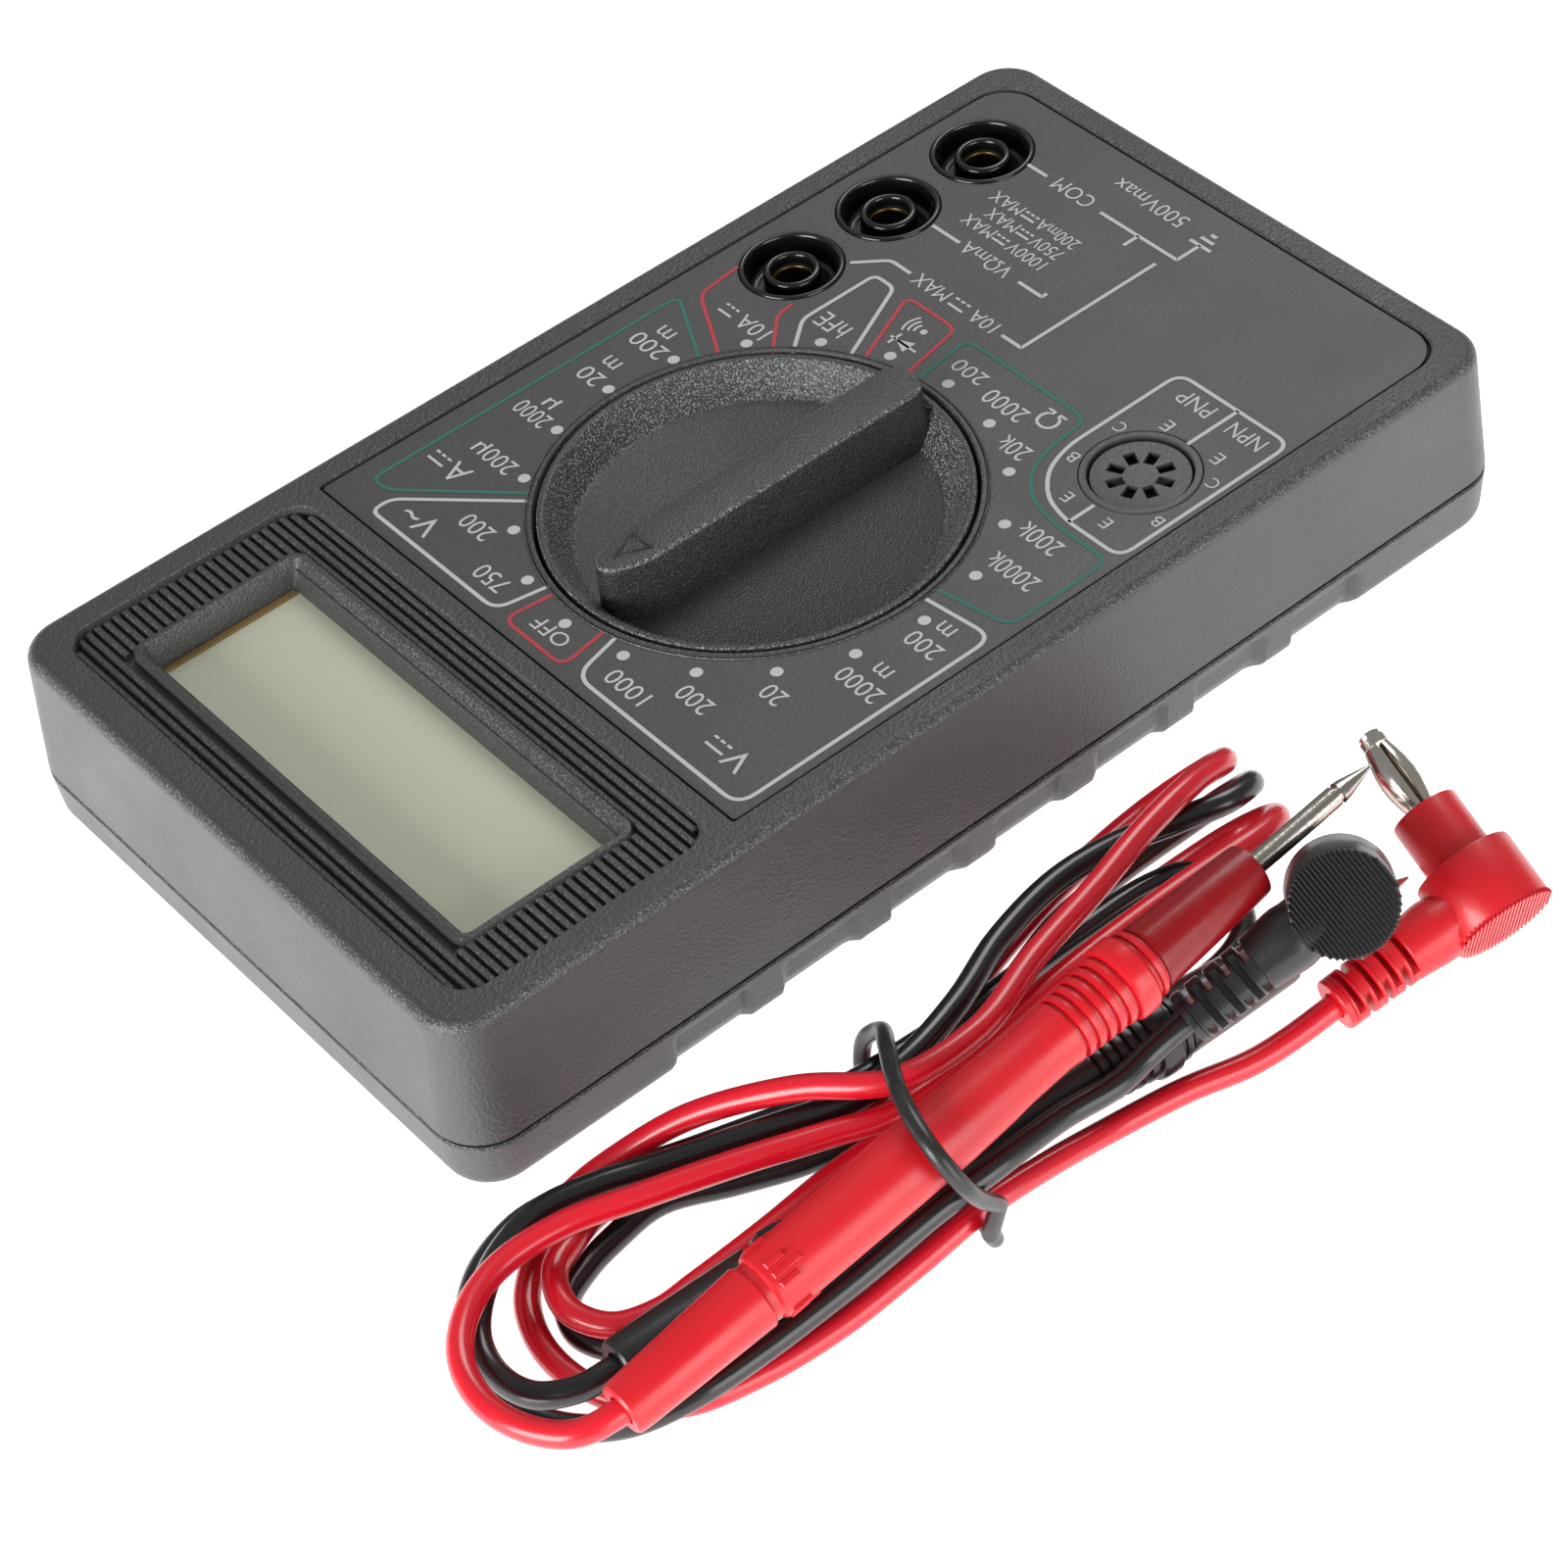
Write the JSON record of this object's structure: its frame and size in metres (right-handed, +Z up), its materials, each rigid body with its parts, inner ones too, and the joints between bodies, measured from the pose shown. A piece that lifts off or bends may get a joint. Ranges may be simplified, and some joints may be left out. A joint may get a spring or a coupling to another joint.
{
  "type": "digital multimeter",
  "caption": "Pocket digital multimeter with a rotary selector, sunken jacks, a display in a ribbed bezel, and coiled test leads tied beside it.",
  "frame": {"origin": "middle of the meter's case on the surface it rests on; the loose leads are not counted", "axes": "+Z up out of the face, +Y along the case towards the display, +X towards the jacks"},
  "size_m": [0.1136, 0.1414, 0.024],
  "materials": {
    "case_plastic": "dark grey ABS with a fine mould grain",
    "knob_plastic": "dark grey ABS with a fine mould grain",
    "label_film": "smooth printed label, satin",
    "lcd_glass": "reflective liquid crystal glass, greenish grey",
    "holder_plastic": "natural moulded plastic",
    "elastomer": "conductive striped rubber",
    "board": "green glass-epoxy board",
    "socket_plastic": "black, polished",
    "contact_brass": "plated brass",
    "battery_can": "printed steel can",
    "snap_plastic": "black",
    "fuse_glass": "glass tube with end caps",
    "epoxy": "black epoxy",
    "steel": "bright steel",
    "red_pvc": "glossy red PVC",
    "black_pvc": "glossy black PVC",
    "nickel": "nickel plate"
  },
  "bodies": {
    "case": {"front_shell": "case_plastic", "rear_cover": "case_plastic", "label_panel": "label_film", "lcd_glass": "lcd_glass", "lcd_holder": "holder_plastic", "zebra_strip": "elastomer", "circuit_board": "board", "transistor_socket": "socket_plastic", "jack_socket_com": "socket_plastic", "jack_socket_vma": "socket_plastic", "jack_socket_10a": "socket_plastic", "jack_contact_com": "contact_brass", "jack_contact_vma": "contact_brass", "jack_contact_10a": "contact_brass", "fuse_clip_1": "contact_brass", "fuse_clip_2": "contact_brass", "buzzer_disc": "contact_brass", "shunt_wire": "contact_brass", "battery_9v": "battery_can", "battery_snap": "snap_plastic", "fuse": "fuse_glass", "chip_blob": "epoxy", "cover_screw_1": "steel", "cover_screw_2": "steel", "board_screw_1": "steel", "board_screw_2": "steel", "board_screw_3": "steel"},
    "knob": {"selector_knob": "knob_plastic", "detent_ball_1": "steel", "detent_ball_2": "steel", "detent_spring_1": "steel", "detent_spring_2": "steel", "contact_wiper_1": "contact_brass", "contact_wiper_2": "contact_brass", "contact_wiper_3": "contact_brass"},
    "leads": {"lead_red": "red_pvc", "lead_black": "black_pvc", "probe_handle_red": "red_pvc", "probe_handle_black": "black_pvc", "probe_needle_red": "steel", "probe_needle_black": "steel", "plug_body_red": "red_pvc", "plug_body_black": "black_pvc", "plug_pin_red": "nickel", "plug_pin_black": "nickel", "lead_tie": "black_pvc"}
  },
  "joints": [
    {"name": "selector_turn", "type": "hinge", "parent": "case", "child": "knob", "pos_m": [0, 0.0005, 0.0179], "axis": [0, 0, 1], "continuous": true},
    {"name": "leads_lift", "type": "slide", "parent": "case", "child": "leads", "axis": [0, 0, 1], "range_m": [0, 0.1]}
  ]
}
